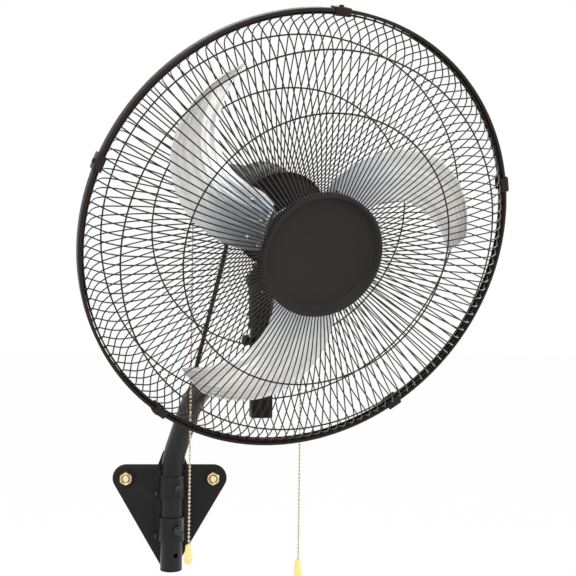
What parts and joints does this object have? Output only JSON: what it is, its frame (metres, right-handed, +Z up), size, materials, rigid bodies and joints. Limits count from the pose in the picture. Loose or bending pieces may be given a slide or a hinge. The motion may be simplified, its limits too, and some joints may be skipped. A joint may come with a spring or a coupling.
{
  "type": "wall mounted oscillating fan",
  "caption": "Oscillating fan on a bent arm from a wall plate, with a wire guard, pressed metal blades, a tilting head and two bead pull chains.",
  "frame": {"origin": "middle of the wall plate's back face, half way between its two bolts", "axes": "+Z up, +X to the right seen from the front, the wall is the plane Y = 0 and the fan stands out from it along -Y"},
  "size_m": [0.4783, 0.5364, 0.6971],
  "materials": {
    "frame_paint": "satin black powder coat",
    "tube_paint": "satin black paint",
    "band_paint": "black paint",
    "guard_paint": "glossy brownish black coat",
    "motor_paint": "matt black paint",
    "dark_steel": "blackened",
    "bright_steel": "turned",
    "lamination_steel": "laminated",
    "copper_varnish": "varnished winding",
    "yellow_zinc": "yellow zinc plate",
    "blade_aluminium": "pressed sheet",
    "cap_plastic": "fine grain",
    "black_plastic": "moulded",
    "grey_plastic": "moulded",
    "black_rubber": "soft",
    "chain_brass": "beads",
    "knob_plastic": "cream"
  },
  "bodies": {
    "wall_mount": {"wall_plate": "frame_paint", "wall_bolts": "yellow_zinc", "bolt_washers": "black_plastic", "arm_bracket": "frame_paint", "bracket_rivets": "dark_steel", "clamp_bands": "band_paint", "clamp_screws": "dark_steel"},
    "arm": {"arm_tube": "tube_paint", "tube_plug": "black_plastic", "lead_grommet": "black_rubber", "arm_socket": "frame_paint", "post_tube": "tube_paint", "post_collar": "frame_paint", "set_screw": "black_plastic", "tilt_fork": "frame_paint", "tilt_bolt": "dark_steel", "switch_box": "black_plastic", "switch_box_screw": "dark_steel", "drum_pin": "bright_steel", "motor_capacitor": "grey_plastic"},
    "neck": {"neck_bracket": "frame_paint"},
    "head": {"motor_front_shell": "motor_paint", "motor_rear_shell": "motor_paint", "stator_core": "lamination_steel", "stator_windings": "copper_varnish", "shaft_bearings": "bright_steel", "gearbox_case": "motor_paint", "gearbox_cover": "black_plastic", "gearbox_screws": "dark_steel", "lever_pin": "bright_steel", "lead_gland": "black_rubber", "guard_nut": "black_plastic", "rear_guard_plate": "guard_paint", "rear_guard_wires": "guard_paint", "rear_guard_rings": "guard_paint", "front_guard_wires": "guard_paint", "front_guard_rings": "guard_paint", "cap_pan": "guard_paint", "centre_cap": "cap_plastic", "rim_hoop": "guard_paint", "rim_clips": "guard_paint", "power_lead": "black_rubber"},
    "rotor": {"rotor_shaft": "bright_steel", "worm": "bright_steel", "rotor_core": "lamination_steel", "blade_spider": "bright_steel", "blade_1": "blade_aluminium", "blade_2": "blade_aluminium", "blade_3": "blade_aluminium", "blade_rivets": "blade_aluminium", "spinner_nut": "black_plastic"},
    "crank": {"crank_gear": "bright_steel"},
    "steering_rod": {"link_rod": "bright_steel"},
    "clutch": {"clutch_lever": "bright_steel"},
    "turning_pull": {"chain_eye": "chain_brass", "turning_chain": "chain_brass", "turning_knob": "knob_plastic"},
    "speed_pull": {"speed_chain": "chain_brass", "speed_knob": "knob_plastic"},
    "speed_drum": {"switch_drum": "grey_plastic"}
  },
  "joints": [
    {"name": "arm_swivel", "type": "hinge", "parent": "wall_mount", "child": "arm", "pos_m": [0.004, -0.02, 0], "axis": [0, 0, 1], "range_deg": [-56.1, 3.9]},
    {"name": "head_tilt", "type": "hinge", "parent": "arm", "child": "neck", "pos_m": [0.11706, -0.25079, 0.285], "axis": [0.898, 0.4399, 0], "range_deg": [-20.7, 0], "deforming": ["power_lead"]},
    {"name": "head_swing", "type": "hinge", "parent": "neck", "child": "head", "pos_m": [0.11706, -0.25079, 0.285], "axis": [0.1555, -0.3174, 0.9354], "range_deg": [-27.4, 42.6], "deforming": ["power_lead"]},
    {"name": "rotor_spin", "type": "hinge", "parent": "head", "child": "rotor", "pos_m": [0.12297, -0.28155, 0.36808], "axis": [0.2892, -0.8909, -0.3504], "continuous": true},
    {"name": "crank_spin", "type": "hinge", "parent": "head", "child": "crank", "pos_m": [0.1169, -0.21432, 0.39191], "axis": [0.1555, -0.3174, 0.9354], "continuous": true},
    {"name": "rod_turn", "type": "hinge", "parent": "neck", "child": "steering_rod", "pos_m": [0.13784, -0.24364, 0.28397], "axis": [0.1555, -0.3174, 0.9354], "range_deg": [-27.4, 42.6]},
    {"name": "clutch_pull", "type": "hinge", "parent": "head", "child": "clutch", "pos_m": [0.07148, -0.21548, 0.38591], "axis": [0.2892, -0.8909, -0.3504], "range_deg": [0, 7], "stiffness_Nm_per_rad": 1.2, "springref_deg": -2.86},
    {"name": "chain_hang", "type": "hinge", "parent": "clutch", "child": "turning_pull", "pos_m": [0.03171, -0.22916, 0.38788], "axis": [0.898, 0.4399, 0], "range_deg": [0, 20.7]},
    {"name": "speed_pull", "type": "slide", "parent": "arm", "child": "speed_pull", "axis": [0, 0, -1], "range_m": [0, 0.012], "stiffness_N_per_m": 400},
    {"name": "speed_turn", "type": "hinge", "parent": "arm", "child": "speed_drum", "pos_m": [0.1599, -0.18526, 0.197], "axis": [-0.4399, 0.898, 0], "range_deg": [0, 61]}
  ],
  "couplings": [
    {"joint": "crank_spin", "follows": "rotor_spin", "ratio": 0.05},
    {"joint": "rod_turn", "follows": "head_swing", "ratio": 1},
    {"joint": "chain_hang", "follows": "head_tilt", "ratio": -1},
    {"joint": "speed_turn", "follows": "speed_pull", "rad_per_m": 76.923}
  ]
}
